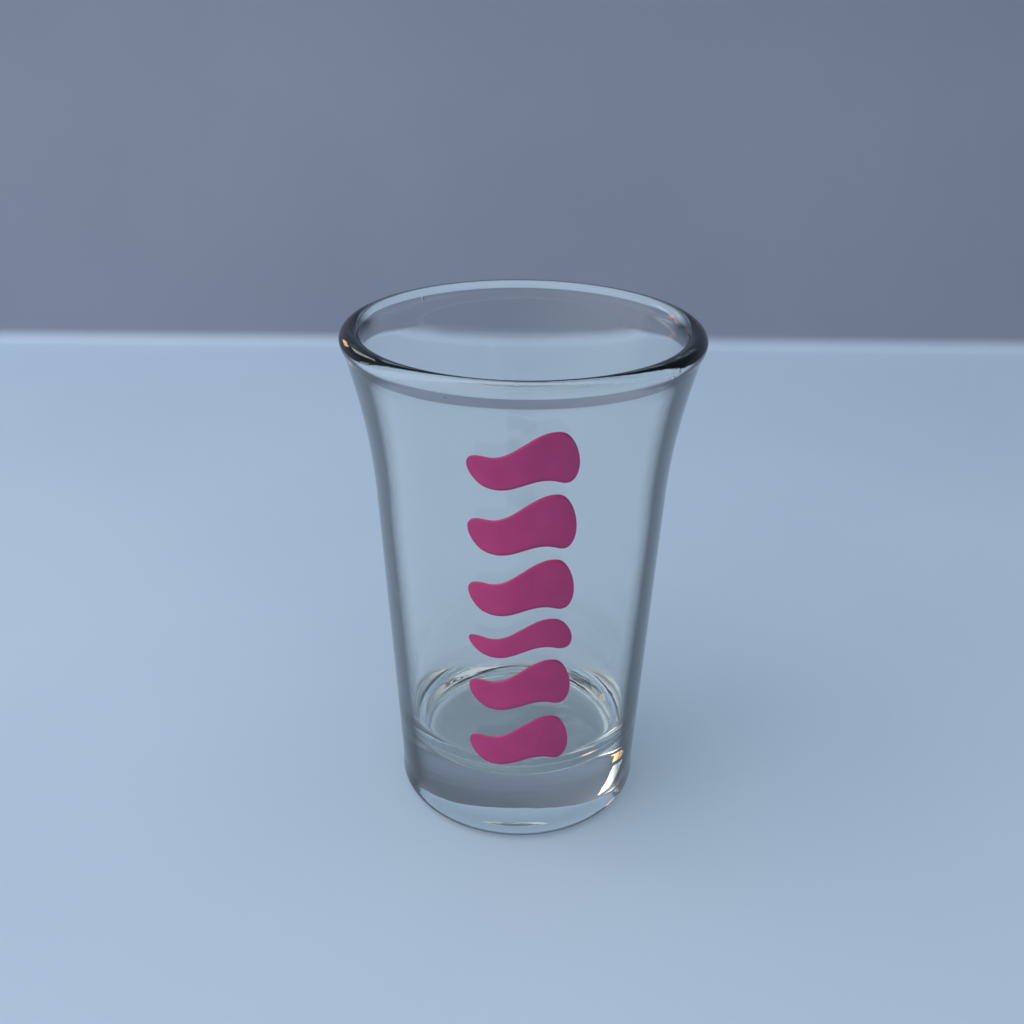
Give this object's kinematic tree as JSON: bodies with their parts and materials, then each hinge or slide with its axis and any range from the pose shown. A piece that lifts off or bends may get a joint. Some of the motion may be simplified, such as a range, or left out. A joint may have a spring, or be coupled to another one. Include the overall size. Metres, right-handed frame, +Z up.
{
  "type": "shot glass",
  "caption": "Clear flared shot glass with a thick solid base, a rounded rim and a column of magenta cut-vinyl waves on the front.",
  "frame": {"origin": "centre of the contact ring under the base, on the surface that the glass stands on", "axes": "+Z up the axis of the glass, out of its mouth; -Y is the decorated front; +X to the right of someone facing the front"},
  "size_m": [0.0504, 0.0504, 0.075],
  "materials": {
    "glass": "clear soda-lime glass with a faint blue-green tint, fire-polished",
    "vinyl": "magenta self-adhesive vinyl film, satin"
  },
  "bodies": {
    "root": {"glass_body": "glass", "vinyl_wave_1": "vinyl", "vinyl_wave_2": "vinyl", "vinyl_wave_3": "vinyl", "vinyl_wave_4": "vinyl", "vinyl_wave_5": "vinyl", "vinyl_wave_6": "vinyl"}
  },
  "joints": []
}
